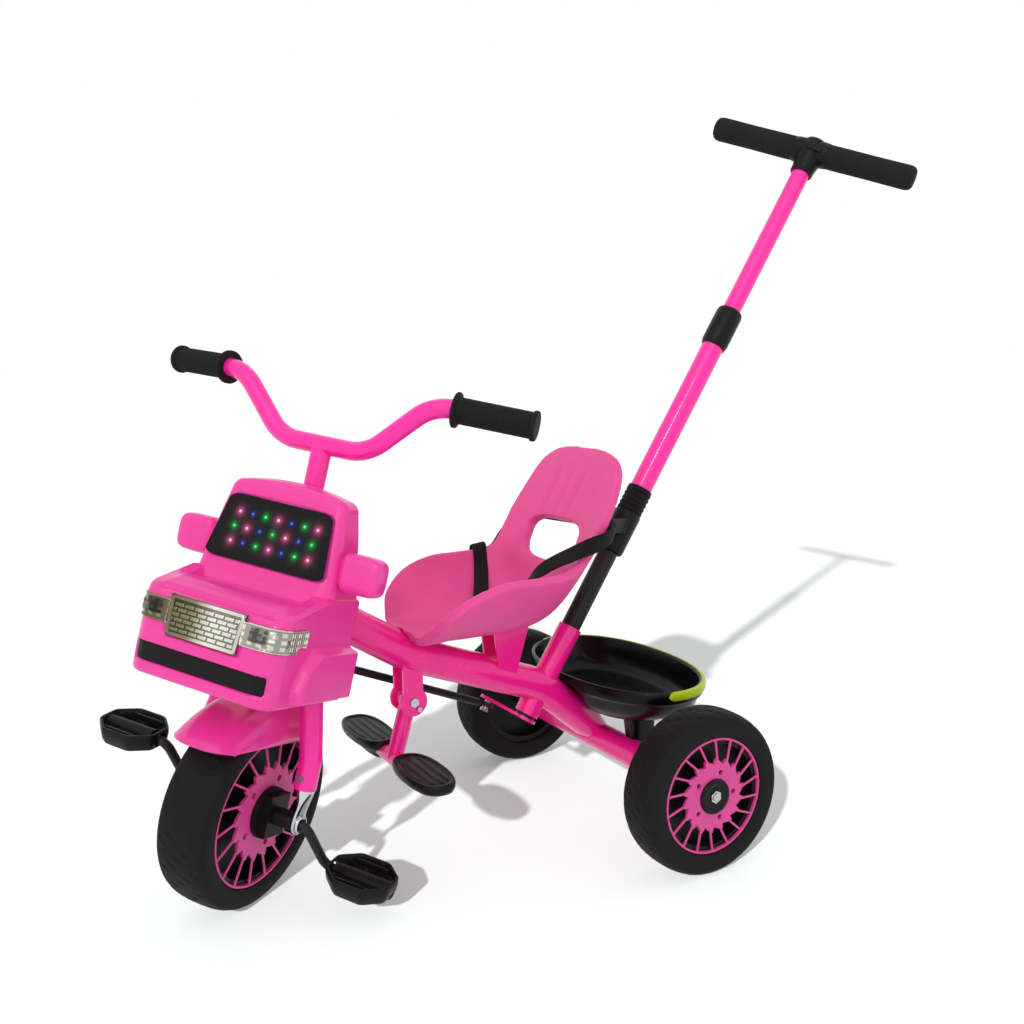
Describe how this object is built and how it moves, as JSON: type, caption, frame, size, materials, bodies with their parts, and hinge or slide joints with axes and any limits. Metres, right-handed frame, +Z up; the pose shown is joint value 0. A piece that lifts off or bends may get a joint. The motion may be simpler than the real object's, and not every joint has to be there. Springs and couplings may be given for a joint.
{
  "type": "toddler push trike",
  "caption": "Toddler tricycle with bucket seat, harness, truck-shaped front, pedal cranks, folding footrest, rear basket and a telescoping push pole that steers the front fork.",
  "frame": {"origin": "middle of the bounding box on the ground, with the fork and pole turned as pictured", "axes": "+Z up, -Y towards the front wheel, +X towards the rider's left"},
  "size_m": [0.4932, 1.092, 0.9608],
  "materials": {
    "frame_paint": "gloss paint",
    "truck_pink": "gloss moulded plastic",
    "seat_pink": "satin moulded plastic",
    "disc_pink": "moulded plastic",
    "tyre_black": "matte foam tyre",
    "black_plastic": "moulded plastic",
    "black_steel": "satin black paint",
    "grip_rubber": "matte rubber",
    "grip_foam": "matte foam",
    "webbing": "woven webbing",
    "zinc_steel": "zinc plated",
    "chrome_trim": "bright plating",
    "screen_black": "gloss dark panel",
    "light_red": "lit lens",
    "light_green": "lit lens",
    "light_blue": "lit lens",
    "strip_lime": "bright moulded plastic"
  },
  "bodies": {
    "frame": {"main_tube": "frame_paint", "head_tube": "frame_paint", "headset_bushes": "black_plastic", "axle_tube": "frame_paint", "rear_axle": "zinc_steel", "axle_nuts": "zinc_steel", "pole_socket": "frame_paint", "seat_bracket": "frame_paint", "seat_shell": "seat_pink", "seat_bolts": "zinc_steel", "harness_straps": "webbing", "harness_buckle": "black_plastic", "basket": "black_plastic", "basket_strip": "strip_lime", "basket_screws": "zinc_steel", "footrest_bracket": "frame_paint", "footrest_bolts": "zinc_steel"},
    "fork": {"fork": "frame_paint", "fork_dropouts": "zinc_steel", "dropout_screws": "zinc_steel", "mudguard": "truck_pink", "truck_hood": "truck_pink", "truck_cab": "truck_pink", "windscreen": "screen_black", "lights_red": "light_red", "lights_green": "light_green", "lights_blue": "light_blue", "grille": "chrome_trim", "headlights": "chrome_trim", "bumper_strip": "black_plastic", "mirrors": "truck_pink", "handlebar": "frame_paint", "grips": "grip_rubber", "fork_arm": "black_steel"},
    "front_wheel": {"front_tyre": "tyre_black", "front_core": "black_plastic", "front_discs": "disc_pink", "front_hubs": "black_plastic", "crank": "black_steel"},
    "pedal_left": {"pedal_left": "black_plastic"},
    "pedal_right": {"pedal_right": "black_plastic"},
    "rear_wheel_left": {"rear_tyre_left": "tyre_black", "rear_core_left": "black_plastic", "rear_disc_left": "disc_pink"},
    "rear_wheel_right": {"rear_tyre_right": "tyre_black", "rear_core_right": "black_plastic", "rear_disc_right": "disc_pink"},
    "push_pole": {"pole_lower": "frame_paint", "pole_shaft": "black_steel", "pole_collar": "black_plastic", "pole_wrap": "black_plastic", "pole_arm": "frame_paint", "arm_bolt": "zinc_steel"},
    "pole_top": {"pole_upper": "frame_paint", "tee_handle": "black_plastic", "foam_grips": "grip_foam"},
    "linkage": {"steering_rod": "black_steel"},
    "footrest": {"footrest_leg": "frame_paint", "footrest_pads": "black_plastic"}
  },
  "joints": [
    {"name": "steering", "type": "hinge", "parent": "frame", "child": "fork", "pos_m": [0, -0.34175, 0.35279], "axis": [0, 0.2656, 0.9641], "range_deg": [-78.6, 5.4]},
    {"name": "pole_turn", "type": "hinge", "parent": "frame", "child": "push_pole", "pos_m": [0, 0.18255, 0.4781], "axis": [0, 0.549, 0.8358], "range_deg": [-78.6, 5.4]},
    {"name": "rod_swing", "type": "hinge", "parent": "push_pole", "child": "linkage", "pos_m": [-0.04415, -0.06645, 0.15877], "axis": [-0.0384, 0.5246, 0.8505], "range_deg": [-5.4, 78.6]},
    {"name": "front_wheel_spin", "type": "hinge", "parent": "fork", "child": "front_wheel", "pos_m": [0, -0.40694, 0.11611], "axis": [0.8028, 0.5748, -0.1583], "continuous": true},
    {"name": "pedal_left_spin", "type": "hinge", "parent": "front_wheel", "child": "pedal_left", "pos_m": [0.09978, -0.30816, 0.03962], "axis": [0.8028, 0.5748, -0.1583], "continuous": true},
    {"name": "pedal_right_spin", "type": "hinge", "parent": "front_wheel", "child": "pedal_right", "pos_m": [-0.09978, -0.50572, 0.19259], "axis": [0.8028, 0.5748, -0.1583], "continuous": true},
    {"name": "rear_left_spin", "type": "hinge", "parent": "frame", "child": "rear_wheel_left", "pos_m": [0.216, 0.08306, 0.1], "axis": [1, 0, 0], "continuous": true},
    {"name": "rear_right_spin", "type": "hinge", "parent": "frame", "child": "rear_wheel_right", "pos_m": [-0.216, 0.08306, 0.1], "axis": [1, 0, 0], "continuous": true},
    {"name": "footrest_fold", "type": "hinge", "parent": "frame", "child": "footrest", "pos_m": [0, -0.19894, 0.203], "axis": [1, 0, 0], "range_deg": [0, 60]},
    {"name": "pole_slide", "type": "slide", "parent": "push_pole", "child": "pole_top", "axis": [0, 0.549, 0.8358], "range_m": [-0.18, 0]}
  ],
  "couplings": [
    {"joint": "pole_turn", "follows": "steering", "ratio": 1},
    {"joint": "rod_swing", "follows": "steering", "ratio": -1}
  ]
}
